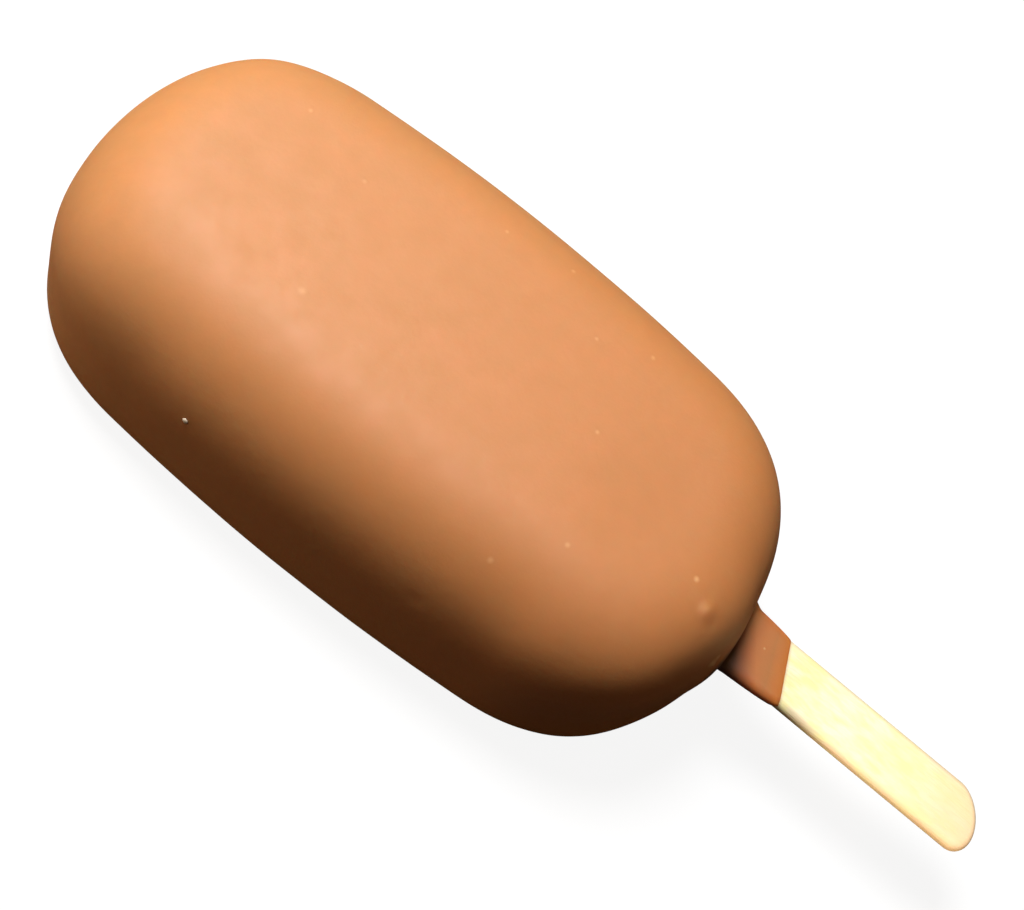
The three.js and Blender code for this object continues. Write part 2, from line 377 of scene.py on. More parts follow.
# The milk drop: place and width (in millimetres), height for its half width, finish and mottling
DROP_PLACE = (-17.1, -25.0, 16.8)
DROP_WIDTH = 0.75
DROP_FLATNESS = 0.5
DROP_DULLNESS = 0.35
DROP_MOTTLE_SIZE = 0.3 * MM
DROP_MOTTLE_RISE = 0.01 * MM
DROP_DARKER = 0.88


# ---------------------------------------------------------------- hand tools


def make_active(piece):
    """Selects one piece and nothing else."""
    bpy.ops.object.select_all(action="DESELECT")
    piece.select_set(True)
    bpy.context.view_layer.objects.active = piece


def apply_modifier(piece, modifier):
    """Makes a modifier's result part of the mesh."""
    make_active(piece)
    bpy.ops.object.modifier_apply(modifier=modifier.name)


def select_only(piece, kind, test):
    """Selects the vertices, edges or faces of a piece that pass a test, and no others."""
    mesh = piece.data
    for elements in (mesh.vertices, mesh.edges, mesh.polygons):
        elements.foreach_set("select", [False] * len(elements))
    elements = getattr(mesh, kind)
    elements.foreach_set("select", [bool(test(element)) for element in elements])


def edit(piece, kind="FACE"):
    """Opens a piece in edit mode, picking vertices, edges or faces."""
    make_active(piece)
    bpy.ops.object.mode_set(mode="EDIT")
    bpy.ops.mesh.select_mode(type=kind)


def leave_edit():
    """Goes back to object mode."""
    bpy.ops.object.mode_set(mode="OBJECT")


def combine(piece, tool, operation):
    """Joins a closed shape to a piece, or cuts it out, and removes the shape."""
    modifier = piece.modifiers.new(operation, "BOOLEAN")
    modifier.object = tool
    modifier.operation = operation
    modifier.solver = "EXACT"
    apply_modifier(piece, modifier)
    bpy.data.objects.remove(tool)


def face_outwards(piece):
    """Turns every face outwards."""
    select_only(piece, "polygons", lambda face: True)
    edit(piece)
    bpy.ops.mesh.normals_make_consistent(inside=False)
    leave_edit()


def shade(piece, sharp_angle):
    """Shades a piece smooth, apart from edges sharper than an angle in degrees."""
    make_active(piece)
    bpy.ops.object.shade_smooth_by_angle(angle=math.radians(sharp_angle))


def finish_piece(piece, material, slot, *nodes):
    """Gives a piece its material and its place in the frame; its slot is not used."""
    piece.data.materials.clear()
    piece.data.materials.append(material)
    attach(piece, "root")
    if nodes:
        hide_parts(*nodes)


# ---------------------------------------------------------------- the block's form


def block_centre_x(block):
    """Place of the block's middle along the bar."""
    return BAR_LOW.x + block.length / 2


def block_end(block):
    """Where the stick leaves the block, at half its thickness."""
    return Vector((BAR_LOW.x + block.length, 0, (STICK_LOW.z + STICK_HIGH.z) / 2))


def rim_height(block):
    """Height of the top's rim, without the crown."""
    return BAR_HIGH.z - block.crown_rise


def quarter_arcs(block):
    """A quarter of the plan: an end arc and a bowed side arc that carries on from it with no kink."""
    half_length, half_width = block.length / 2, BAR_HIGH.y
    end_x = half_length - block.end_radius
    bow = half_width - block.end_radius
    side_radius = (end_x**2 + half_width**2 - block.end_radius**2) / (2 * bow)
    side_y = half_width - side_radius
    join = math.atan2(-side_y, end_x)
    return [
        {"centre": Vector((end_x, 0)), "radius": block.end_radius, "from": 0, "to": join},
        {"centre": Vector((0, side_y)), "radius": side_radius, "from": join, "to": QUARTER_TURN},
    ]


def quarter_point(block, arcs, heading):
    """Point of the quarter plan whose outward normal has this heading, and that normal."""
    arc = arcs[0] if heading <= arcs[0]["to"] else arcs[1]
    normal = Vector((math.cos(heading), math.sin(heading)))
    reach = arc["radius"] + block.end_squareness * math.sin(2 * heading) ** 2
    return arc["centre"] + normal * reach, normal


def quarter_headings(arcs, steps):
    """Headings that split the quarter plan into even steps."""
    lengths = [arc["radius"] * (arc["to"] - arc["from"]) for arc in arcs]
    headings = []
    for i in range(steps + 1):
        along = sum(lengths) * i / steps
        arc, done = (arcs[0], 0) if along <= lengths[0] else (arcs[1], lengths[0])
        headings.append(min(arc["from"] + (along - done) / arc["radius"], QUARTER_TURN))
    return headings


def plan_outline(block):
    """The block's whole plan, anticlockwise from +X, as points about its middle."""
    arcs = quarter_arcs(block)
    quarter = [quarter_point(block, arcs, heading)[0] for heading in quarter_headings(arcs, PLAN_STEPS)]
    half = quarter + [Vector((-point.x, point.y)) for point in reversed(quarter[:-1])]
    return half + [-point for point in half[1:-1]]


def crown_lift(block, point):
    """How far the crown lifts a point of the block: most in the middle of the top, nothing at the back."""
    out = (point.x / (block.length / 2)) ** 2 + (point.y / BAR_HIGH.y) ** 2
    return block.crown_rise * (point.z / rim_height(block)) * (1 - block.crown_fade * out)


def soft_step(value):
    """Eases a number from 0 to 1, flat at both ends."""
    value = min(max(value, 0), 1)
    return value * value * (3 - 2 * value)


def root_swell(block, along, across):
    """How far the end swells out round the stick, at a place along and across from the block's middle."""
    aside = min(abs(across - block.root_swell_centre) / block.root_swell_width, 1)
    fade = soft_step(1 + (along - block.length / 2) / block.root_swell_length)
    return block.root_swell * fade * (1 + math.cos(math.pi * aside)) / 2


def wall_reach(block, across):
    """How far the block's end stands out past the point where the stick leaves it, at a place across."""
    setback = block.end_radius - math.sqrt(block.end_radius**2 - across**2)
    return root_swell(block, block.length / 2, across) - setback


def fill_with_grid(span):
    """Swaps the selected face for a grid, its corners placed evenly about both ends."""
    bpy.ops.mesh.delete(type="ONLY_FACE")
    bpy.ops.mesh.select_mode(type="EDGE")
    bpy.ops.mesh.select_all(action="DESELECT")
    bpy.ops.mesh.select_non_manifold()
    bpy.ops.mesh.fill_grid(span=span, offset=-span // 2)
    bpy.ops.mesh.select_mode(type="FACE")


def inset_rounding(inset, rise, steps, fullness=2):
    """Rounds the selected face's edge by insets, from upright to flat, along an ellipse or fuller."""
    power = 2 / fullness
    for i in range(steps):
        low, high = (QUARTER_TURN * j / steps for j in (i, i + 1))
        step_in = inset * (math.cos(low) ** power - max(math.cos(high), 0) ** power)
        step_up = rise * (math.sin(high) ** power - math.sin(low) ** power)
        bpy.ops.mesh.inset(thickness=step_in, depth=step_up, use_even_offset=True)


def model_block(block):
    """The bare block: its plan drawn up into a wall, a rounded foot, a deep shoulder and a crowned top."""
    outline = plan_outline(block)
    count = len(outline)
    bpy.ops.object.select_all(action="DESELECT")
    bpy.ops.mesh.primitive_circle_add(vertices=count, radius=block.length / 2, fill_type="NGON")
    piece = bpy.context.object
    for vertex in piece.data.vertices:
        index = round(math.atan2(vertex.co.y, vertex.co.x) / math.tau * count) % count
        vertex.co = (*outline[index], block.foot_radius)
    wall = rim_height(block) - block.shoulder_drop - block.foot_radius
    select_only(piece, "polygons", lambda face: True)
    edit(piece)
    for _ in range(WALL_STEPS):
        bpy.ops.mesh.extrude_region_move(TRANSFORM_OT_translate={"value": (0, 0, wall / WALL_STEPS)})
    inset_rounding(block.shoulder_inset, block.shoulder_drop, SHOULDER_STEPS, block.shoulder_fullness)
    fill_with_grid(END_SPAN)
    leave_edit()
    face_outwards(piece)
    select_only(piece, "polygons", lambda face: len(face.vertices) == count)
    edit(piece)
    inset_rounding(block.foot_radius, block.foot_radius, FOOT_STEPS)
    fill_with_grid(END_SPAN)
    leave_edit()
    face_outwards(piece)
    for vertex in piece.data.vertices:
        swell = root_swell(block, vertex.co.x, vertex.co.y)
        vertex.co.z += crown_lift(block, vertex.co)
        vertex.co.x += block_centre_x(block) + swell
    smoothing = piece.modifiers.new("smoothing", "SUBSURF")
    smoothing.levels = smoothing.render_levels = SMOOTHING_LEVELS
    apply_modifier(piece, smoothing)
    return piece


def roughen(piece, name, grain, depth):
    """Gives a piece's surface cloudy relief of a width and depth."""
    clouds = bpy.data.textures.new(name, "CLOUDS")
    clouds.noise_scale = grain
    relief = piece.modifiers.new(name, "DISPLACE")
    relief.texture = clouds
    relief.texture_coords = "LOCAL"
    relief.mid_level = RELIEF_LEVEL
    relief.strength = depth
    apply_modifier(piece, relief)
    bpy.data.textures.remove(clouds)


def keep_in_box(piece):
    """Holds a piece within the coated bar's box, which also keeps its back flat."""
    for vertex in piece.data.vertices:
        vertex.co.x = max(vertex.co.x, BAR_LOW.x)
        vertex.co.y = min(max(vertex.co.y, BAR_LOW.y), BAR_HIGH.y)
        vertex.co.z = min(max(vertex.co.z, BAR_LOW.z), BAR_HIGH.z)


def push(piece, name, place, reach, height):
    """Draws the surface nearest to a place out, or presses it in, fading away over a reach."""
    found, _, normal, face = piece.closest_point_on_mesh(place)
    if not found:
        raise RuntimeError(f"no surface near the {name}")
    corners = piece.data.polygons[face].vertices
    nearest = min(corners, key=lambda index: (piece.data.vertices[index].co - place).length)
    select_only(piece, "vertices", lambda vertex: vertex.index == nearest)
    edit(piece, "VERT")
    bpy.ops.transform.translate(
        value=normal * height,
        use_proportional_edit=True,
        proportional_edit_falloff="SMOOTH",
        proportional_size=reach,
    )
    leave_edit()


# ---------------------------------------------------------------- the sleeve and the stick


def stick_place(block, stick):
    """Matrix that takes a shape drawn along the stick, from where it leaves the block, to its place."""
    return Matrix.Translation(block_end(block)) @ Matrix.Rotation(stick.turn, 4, "Z")


def stick_showing(block):
    """Length of the stick outside the block."""
    return STICK_HIGH.x - block_end(block).x


def half_thickness():
    """Half the stick's thickness."""
    return (STICK_HIGH.z - STICK_LOW.z) / 2


def stick_section(stick):
    """The stick's cross-section, anticlockwise seen from its tip, as points with outward normals."""
    half_width, half_height = stick.width / 2, half_thickness()
    corner = stick.eased_edge
    points = []
    for quarter, (side, lift) in enumerate(((1, 1), (-1, 1), (-1, -1), (1, -1))):
        middle = Vector((side * (half_width - corner), lift * (half_height - corner)))
        for i in range(SECTION_CORNER_STEPS + 1):
            turn = QUARTER_TURN * (quarter + i / SECTION_CORNER_STEPS)
            normal = Vector((math.cos(turn), math.sin(turn)))
            points.append((middle + normal * corner, normal))
        steps = SECTION_FLAT_STEPS if quarter % 2 == 0 else SECTION_EDGE_STEPS
        start, normal = points[-1]
        run = Vector((-normal.y, normal.x)) * 2 * ((half_width if quarter % 2 == 0 else half_height) - corner)
        points.extend((start + run * i / steps, normal) for i in range(1, steps))
    return points


def sleeve_slope(coat, stick):
    """How much further the sleeve reaches along the stick for each length across it."""
    return (coat.sleeve_short_side - coat.sleeve_long_side) / stick.width


def sleeve_edge_x(coat, stick, across, up):
    """Where the dip stopped along the stick, at a place across it and up from its middle."""
    middle = (coat.sleeve_short_side + coat.sleeve_long_side) / 2
    above = coat.sleeve_lean_above * (half_thickness() - max(up, coat.sleeve_corner))
    below = coat.sleeve_lean * max(0, coat.sleeve_corner - max(up, -coat.sleeve_corner))
    return middle + sleeve_slope(coat, stick) * across + above - below


def film_at_root(coat, normal):
    """Thickness of the film near the block on a side of the stick that faces this way."""
    on_edge = coat.film_short_side if normal.x > 0 else coat.film_long_side
    return on_edge * normal.x**2 + coat.film_on_faces * normal.y**2


def root_flare(block, coat, normal, along, across):
    """How far the film flares out at a place along the stick, close to the block's end."""
    past_wall = max(0, along - wall_reach(block, across))
    flare = coat.root_flare * max(0, 1 - past_wall / coat.root_flare_length) ** 2
    return flare * (coat.flare_elsewhere + (1 - coat.flare_elsewhere) * max(0, normal.x) ** 2)


def sleeve_rings():
    """Rings of the sleeve from inside the block to its lip: share of the way along, and height of the lip."""
    rings = [(i / SLEEVE_RINGS, 1) for i in range(SLEEVE_RINGS)]
    return rings + [(1, math.sin(QUARTER_TURN * (1 - i / LIP_STEPS))) for i in range(LIP_STEPS + 1)]


def sleeve_point(block, coat, stick, section_point, ring):
    """Place of one point of the sleeve in the stick's own frame."""
    flat, normal = section_point
    way, lip = ring
    edge = sleeve_edge_x(coat, stick, flat.x, flat.y)
    x = -SLEEVE_ROOT_DEPTH + (edge - coat.film_at_edge + SLEEVE_ROOT_DEPTH) * way
    if way == 1:
        x = edge - coat.film_at_edge * (1 - math.sqrt(1 - lip**2))
    rootward = min(max((edge - x) / edge, 0), 1)
    film = coat.film_at_edge + (film_at_root(coat, normal) - coat.film_at_edge) * rootward**coat.film_swell
    out = flat + normal * (film + root_flare(block, coat, normal, x, flat.x)) * lip
    return Vector((x, out.x, out.y))


def model_sleeve(block, coat, stick):
    """The chocolate film round the stick's root: it flares at the block and ends in a thin round lip."""
    section = stick_section(stick)
    rings = sleeve_rings()
    count = len(section)
    bpy.ops.object.select_all(action="DESELECT")
    upright = (0, QUARTER_TURN, 0)
    bpy.ops.mesh.primitive_circle_add(vertices=count, radius=MM, fill_type="NGON", rotation=upright)
    bpy.ops.object.transform_apply(location=False, rotation=True, scale=False)
    piece = bpy.context.object
    select_only(piece, "polygons", lambda face: True)
    edit(piece)
    for _ in rings[1:]:
        bpy.ops.mesh.extrude_region_move(TRANSFORM_OT_translate={"value": (MM, 0, 0)})
    leave_edit()
    for vertex in piece.data.vertices:
        ring = round(vertex.co.x / MM)
        index = round(math.atan2(vertex.co.z, vertex.co.y) / math.tau * count) % count
        vertex.co = sleeve_point(block, coat, stick, section[index], rings[ring])
    piece.data.transform(stick_place(block, stick))
    face_outwards(piece)
    return piece


def model_plate(block, stick, grow):
    """The stick's flat plate, grown all round: a round inner end, a slanted round tip, eased edges."""
    half_width = stick.width / 2
    showing = stick_showing(block)
    tip_base = showing - math.hypot(stick.end_rounding, stick.tip_slant * half_width)
    inner_base = showing - stick.length + stick.end_rounding
    thickness = 2 * (half_thickness() + grow)
    half_step = math.pi / STICK_ROUND_STEPS / 2
    bpy.ops.object.select_all(action="DESELECT")
    bpy.ops.mesh.primitive_circle_add(vertices=2 * STICK_ROUND_STEPS, radius=1, fill_type="NGON")
    piece = bpy.context.object
    for vertex in piece.data.vertices:
        turn = math.atan2(vertex.co.y, vertex.co.x) + half_step
        forward, across = math.cos(turn), math.sin(turn)
        base = tip_base - stick.tip_slant * half_width * across if forward > 0 else inner_base
        x = base + (stick.end_rounding + grow) * forward
        vertex.co = (x, (half_width + grow) * across, -thickness / 2)
    select_only(piece, "polygons", lambda face: True)
    edit(piece)
    bpy.ops.mesh.extrude_region_move(TRANSFORM_OT_translate={"value": (0, 0, thickness)})
    leave_edit()
    face_outwards(piece)
    edit(piece, "EDGE")
    bpy.ops.mesh.select_all(action="DESELECT")
    bpy.ops.mesh.edges_select_sharp(sharpness=math.radians(STICK_EDGE_ANGLE))
    bpy.ops.mesh.bevel(offset=stick.eased_edge, segments=STICK_EDGE_STEPS)
    leave_edit()
    piece.data.transform(stick_place(block, stick))
    return piece


def model_stick(block, stick):
    """The wooden stick, with a narrow strip inside its eased edges that keeps its faces flat."""
    piece = model_plate(block, stick, 0)
    select_only(piece, "polygons", lambda face: abs(face.normal.z) > LEVEL)
    edit(piece)
    bpy.ops.mesh.inset(thickness=stick.eased_edge)
    leave_edit()
    return piece


def near_root(block, stick, point):
    """Whether a point of the coat lies in the corner between the block's end and the sleeve."""
    local = stick_place(block, stick).inverted() @ point
    aside = max(0, abs(local.y) - stick.width / 2)
    beside = math.hypot(aside, max(0, abs(local.z) - half_thickness()))
    from_wall = local.x - wall_reach(block, min(max(local.y, -stick.width), stick.width))
    return beside < CORNER_OUT and abs(from_wall) < CORNER_ALONG


# ---------------------------------------------------------------- materials


def add_node(tree, kind, place, inputs=None, **settings):
    """A node at a place in a tree, with values for some of its inputs and settings."""
    node = tree.nodes.new(kind)
    node.location = place
    for key, value in settings.items():
        setattr(node, key, value)
    for key, value in (inputs or {}).items():
        node.inputs[key].default_value = value
    return node


def new_mask_group(name, vectors, numbers):
    """An empty node group that takes vectors and numbers and puts out a mask."""
    tree = bpy.data.node_groups.new(name, "ShaderNodeTree")
    for label in vectors:
        tree.interface.new_socket(label, in_out="INPUT", socket_type="NodeSocketVector")
    for label in numbers:
        tree.interface.new_socket(label, in_out="INPUT", socket_type="NodeSocketFloat")
    tree.interface.new_socket("Mask", in_out="OUTPUT", socket_type="NodeSocketFloat")
    return tree


def mottle_group():
    """Node group: soft blotches of a size, as a mask from 0 to 1, stretched along X where asked."""
    name = "soft mottle"
    if name in bpy.data.node_groups:
        return bpy.data.node_groups[name]
    tree = new_mask_group(name, ("Vector", "Stretch"), ("Fineness", "Detail", "Low", "High"))
    start = add_node(tree, "NodeGroupInput", (-600, 0))
    end = add_node(tree, "NodeGroupOutput", (400, 0))
    stretch = add_node(tree, "ShaderNodeVectorMath", (-400, 0), operation="MULTIPLY")
    noise = add_node(tree, "ShaderNodeTexNoise", (-200, 0))
    spread = add_node(tree, "ShaderNodeMapRange", (0, 0))
    tree.links.new(start.outputs["Vector"], stretch.inputs[0])
    tree.links.new(start.outputs["Stretch"], stretch.inputs[1])
    tree.links.new(stretch.outputs[0], noise.inputs["Vector"])
    tree.links.new(start.outputs["Fineness"], noise.inputs["Scale"])
    tree.links.new(start.outputs["Detail"], noise.inputs["Detail"])
    tree.links.new(noise.outputs["Fac"], spread.inputs["Value"])
    tree.links.new(start.outputs["Low"], spread.inputs["From Min"])
    tree.links.new(start.outputs["High"], spread.inputs["From Max"])
    tree.links.new(spread.outputs["Result"], end.inputs["Mask"])
    return tree


def add_mottle(tree, coordinates, place, size_of_blotch, detail=2, stretch=(1, 1, 1), contrast=0.2):
    """Places the mottle group in a material: blotches of a size in metres."""
    node = add_node(tree, "ShaderNodeGroup", place, node_tree=mottle_group())
    node.inputs["Stretch"].default_value = stretch
    node.inputs["Fineness"].default_value = 1 / size_of_blotch
    node.inputs["Detail"].default_value = detail
    node.inputs["Low"].default_value = 0.5 - contrast
    node.inputs["High"].default_value = 0.5 + contrast
    tree.links.new(coordinates, node.inputs["Vector"])
    return node.outputs["Mask"]


def blend_colours(tree, place, mask, first, second):
    """Mixes two colours, or a socket and a colour, by a mask."""
    node = add_node(tree, "ShaderNodeMix", place, data_type="RGBA")
    tree.links.new(mask, node.inputs["Factor"])
    for socket, value in ((node.inputs["A"], first), (node.inputs["B"], second)):
        if isinstance(value, bpy.types.NodeSocket):
            tree.links.new(value, socket)
        else:
            socket.default_value = (*value, 1)
    return node.outputs["Result"]


def scale_mask(tree, place, mask, low, high, from_low=0, from_high=1):
    """Spreads a value over another range."""
    node = add_node(
        tree,
        "ShaderNodeMapRange",
        place,
        {"From Min": from_low, "From Max": from_high, "To Min": low, "To Max": high},
    )
    tree.links.new(mask, node.inputs["Value"])
    return node.outputs["Result"]


def new_material(name, roughness):
    """A material with one Principled shader and object coordinates."""
    material = bpy.data.materials.new(name)
    material.use_nodes = True
    tree = material.node_tree
    shader = tree.nodes["Principled BSDF"]
    shader.inputs["Roughness"].default_value = roughness
    coordinates = add_node(tree, "ShaderNodeTexCoord", (-1400, 0))
    return material, tree, shader, coordinates.outputs["Object"]


def set_glow(shader, finish):
    """Lets light go through a material a little, further in red than in blue."""
    shader.inputs["Subsurface Weight"].default_value = finish.glow
    shader.inputs["Subsurface Radius"].default_value = finish.glow_reach
    shader.inputs["Subsurface Scale"].default_value = MM


def add_bump(tree, shader, place, height, distance, strength=1.0, under=None):
    """Feeds a height into the shader's normal, on top of another bump if given."""
    bump = add_node(tree, "ShaderNodeBump", place, {"Strength": strength, "Distance": distance})
    tree.links.new(height, bump.inputs["Height"])
    if under:
        tree.links.new(under.outputs["Normal"], bump.inputs["Normal"])
    tree.links.new(bump.outputs["Normal"], shader.inputs["Normal"])
    return bump


def distance_along(tree, coordinates, place, point, direction):
    """How far a place lies past a point, in a direction."""
    offset = add_node(tree, "ShaderNodeVectorMath", place, operation="SUBTRACT")
    offset.inputs[1].default_value = point
    tree.links.new(coordinates, offset.inputs[0])
    along = add_node(tree, "ShaderNodeVectorMath", (place[0] + 180, place[1]), operation="DOT_PRODUCT")
    along.inputs[1].default_value = direction
    tree.links.new(offset.outputs[0], along.inputs[0])
    return along.outputs["Value"]


def plane_mask(tree, coordinates, row, plane, low, high, start, end):
    """Mask that goes from one level to another between two distances past a plane (a point, a direction)."""
    past = distance_along(tree, coordinates, (-1100, row), *plane)
    return scale_mask(tree, (-700, row), past, low, high, start, end)


def multiply_masks(tree, place, first, second):
    """The product of two masks."""
    node = add_node(tree, "ShaderNodeMath", place, operation="MULTIPLY")
    tree.links.new(first, node.inputs[0])
    tree.links.new(second, node.inputs[1])
    return node.outputs[0]


def root_plane(block, stick):
    """The plane across the stick where it leaves the block: a point, and the direction of the stick."""
    place = stick_place(block, stick)
    return place.to_translation(), place.to_3x3() @ Vector((1, 0, 0))


def root_shade_mask(tree, coordinates, settings):
    """Mask of the painted shade in the corner between the block and the stick, where the block's shadow falls
    on the sleeve.
    """
    place = stick_place(settings.block, settings.stick)
    far_side = place @ Vector((ROOT_SHADE_END, 0, 0)), place.to_3x3() @ Vector((1, ROOT_SHADE_LEAN, 0))
    near = plane_mask(tree, coordinates, 1200, far_side, 1, 0, -ROOT_SHADE_REACH, 0)
    root = root_plane(settings.block, settings.stick)
    outside = plane_mask(tree, coordinates, 1400, root, 0, 1, ROOT_SHADE_START, 0)
    return multiply_masks(tree, (-500, 1300), near, outside)


def thin_edge_mask(tree, coordinates, settings):
    """Mask of the thin film along the last of the sleeve's +Y edge, past a line across that corner."""
    coat, stick = settings.coat, settings.stick
    place = stick_place(settings.block, stick)
    half_width = stick.width / 2
    start = Vector((coat.sleeve_short_side - THIN_EDGE_LENGTH, half_width + coat.film_at_edge, 0))
    end = Vector((coat.sleeve_short_side, half_width - THIN_EDGE_FADE, 0))
    run = (end - start).normalized()
    plane = place @ start, place.to_3x3() @ Vector((-run.y, run.x, 0))
    return plane_mask(tree, coordinates, 800, plane, 0, 1, 0, THIN_EDGE_FADE)


def sleeve_edge_plane(block, coat, stick):
    """A point of the plane where the dip stopped, and the direction across it towards the tip."""
    place = stick_place(block, stick)
    point = Vector((sleeve_edge_x(coat, stick, 0, half_thickness()), 0, half_thickness()))
    across = Vector((1, -sleeve_slope(coat, stick), coat.sleeve_lean_above)).normalized()
    return place @ point, place.to_3x3() @ across


def fleck_group():
    """Node group: one soft round spot, as a mask that is 1 at its centre and 0 at its rim."""
    name = "soft fleck"
    if name in bpy.data.node_groups:
        return bpy.data.node_groups[name]
    tree = new_mask_group(name, ("Vector", "Centre"), ("Radius", "Paleness", "Under"))
    start = add_node(tree, "NodeGroupInput", (-600, 0))
    end = add_node(tree, "NodeGroupOutput", (600, 0))
    away = add_node(tree, "ShaderNodeVectorMath", (-400, 0), operation="DISTANCE")
    fade = add_node(tree, "ShaderNodeMapRange", (-200, 0), interpolation_type="SMOOTHSTEP")
    fade.inputs["To Min"].default_value = 1
    fade.inputs["To Max"].default_value = 0
    weigh = add_node(tree, "ShaderNodeMath", (0, 0), operation="MULTIPLY")
    join = add_node(tree, "ShaderNodeMath", (200, 0), operation="MAXIMUM")
    tree.links.new(start.outputs["Vector"], away.inputs[0])
    tree.links.new(start.outputs["Centre"], away.inputs[1])
    tree.links.new(away.outputs["Value"], fade.inputs["Value"])
    tree.links.new(start.outputs["Radius"], fade.inputs["From Max"])
    tree.links.new(fade.outputs["Result"], weigh.inputs[0])
    tree.links.new(start.outputs["Paleness"], weigh.inputs[1])
    tree.links.new(weigh.outputs[0], join.inputs[0])
    tree.links.new(start.outputs["Under"], join.inputs[1])
    tree.links.new(join.outputs[0], end.inputs["Mask"])
    return tree


def add_flecks_and_highlight(tree, coordinates, place, spots):
    """Places one soft spot in a material for each of the pale flecks and for the painted highlight on the
    large drip, and gives the mask of them all.
    """
    mask = None
    for i, spot in enumerate(spots):
        node = add_node(tree, "ShaderNodeGroup", (place[0] + 180 * i, place[1]), node_tree=fleck_group())
        node.inputs["Centre"].default_value = spot["centre"]
        node.inputs["Radius"].default_value = spot["radius"]
        node.inputs["Paleness"].default_value = spot["paleness"]
        tree.links.new(coordinates, node.inputs["Vector"])
        if mask:
            tree.links.new(mask, node.inputs["Under"])
        mask = node.outputs["Mask"]
    return mask


def chocolate_material(settings, spots):
    """Satin milk chocolate: soft blotches, pale flecks, a painted highlight on the large drip, and fine
    grain.

    It gets a little warmer towards the stick, where the film has painted shade at its root and is orange at
    its edge.
    """
    finish = settings.chocolate
    material, tree, shader, coordinates = new_material("milk_chocolate", finish.dull)
    blotches = add_mottle(tree, coordinates, (-1100, 300), BLOTCH_SIZE)
    patches = add_mottle(tree, coordinates, (-1100, 100), PATCH_SIZE, detail=4)
    base = blend_colours(tree, (-800, 300), blotches, finish.milk, finish.rosy)
    faint = scale_mask(tree, (-800, 100), patches, 0, PATCH_SHARE)
    base = blend_colours(tree, (-600, 200), faint, base, finish.tan)
    half_length = settings.block.length / 2
    middle = Vector((block_centre_x(settings.block), 0, 0)), Vector((1, 0, 0))
    nearness = plane_mask(tree, coordinates, 1600, middle, 0, NEAR_END_SHARE, -half_length, half_length)
    base = blend_colours(tree, (-500, 1600), nearness, base, finish.near_end)
    root = root_plane(settings.block, settings.stick)
    on_stick = plane_mask(tree, coordinates, 1000, root, 0, 1, 0, FILM_FADE)
    thin_edge = thin_edge_mask(tree, coordinates, settings)
    film = blend_colours(tree, (-700, 800), thin_edge, finish.film, finish.thin_film)
    base = blend_colours(tree, (-500, 700), on_stick, base, film)
    # Painted shade on the sleeve's root, where the block's shadow falls
    base = blend_colours(tree, (-400, 800), root_shade_mask(tree, coordinates, settings), base, finish.pool)
    # Pale flecks, and the painted highlight on the large drip
    pale = add_flecks_and_highlight(tree, coordinates, (-3400, 900), spots)
    base = blend_colours(tree, (-500, 500), pale, base, finish.fleck)
    point, direction = sleeve_edge_plane(settings.block, settings.coat, settings.stick)
    edge = point, direction - Vector((0, THIN_FILM_LEAN, 0))
    thin = plane_mask(tree, coordinates, 600, edge, 0, 1, *THIN_FILM_RANGE)
    base = blend_colours(tree, (-400, 300), thin, base, finish.thin_film)
    tree.links.new(base, shader.inputs["Base Color"])
    shader.inputs["Specular IOR Level"].default_value = finish.shine
    set_glow(shader, finish)
    sheen = scale_mask(tree, (-800, -100), patches, finish.dull, finish.dull + PATCH_DULLING)
    tree.links.new(sheen, shader.inputs["Roughness"])
    swell = add_mottle(tree, coordinates, (-1100, -300), SWELL_SIZE, detail=3)
    grain = add_mottle(tree, coordinates, (-1100, -500), GRAIN_SIZE, detail=2)
    coarse = add_bump(tree, shader, (-500, -300), swell, SWELL_RISE)
    add_bump(tree, shader, (-300, -400), grain, GRAIN_RISE, under=coarse)
    return material


def drop_material(finish):
    """A drop of milk that dried on the coat, faintly mottled."""
    material, tree, shader, coordinates = new_material("milk_drop", DROP_DULLNESS)
    mottle = add_mottle(tree, coordinates, (-900, 200), DROP_MOTTLE_SIZE)
    darker = [DROP_DARKER * value for value in finish.drop]
    tree.links.new(blend_colours(tree, (-500, 200), mottle, finish.drop, darker), shader.inputs["Base Color"])
    add_bump(tree, shader, (-400, -200), mottle, DROP_MOTTLE_RISE)
    return material


def wood_side_mask(tree, coordinates, settings):
    """Mask of the stick's rounded long edges."""
    stick = settings.stick
    place = stick_place(settings.block, stick)
    sideways = place.to_3x3() @ Vector((0, 1, 0))
    across = distance_along(tree, coordinates, (-1100, 900), place.to_translation(), sideways)
    aside = add_node(tree, "ShaderNodeMath", (-700, 900), operation="ABSOLUTE")
    tree.links.new(across, aside.inputs[0])
    half_width = stick.width / 2
    return scale_mask(tree, (-600, 900), aside.outputs[0], 0, 1, half_width - stick.eased_edge, half_width)


def wood_tip_mask(tree, coordinates, settings):
    """Mask that grows towards the stick's tip, over the last part of it."""
    showing = stick_showing(settings.block)
    root = root_plane(settings.block, settings.stick)
    return plane_mask(tree, coordinates, 1100, root, 0, TIP_SHARE, TIP_FROM * showing, showing)


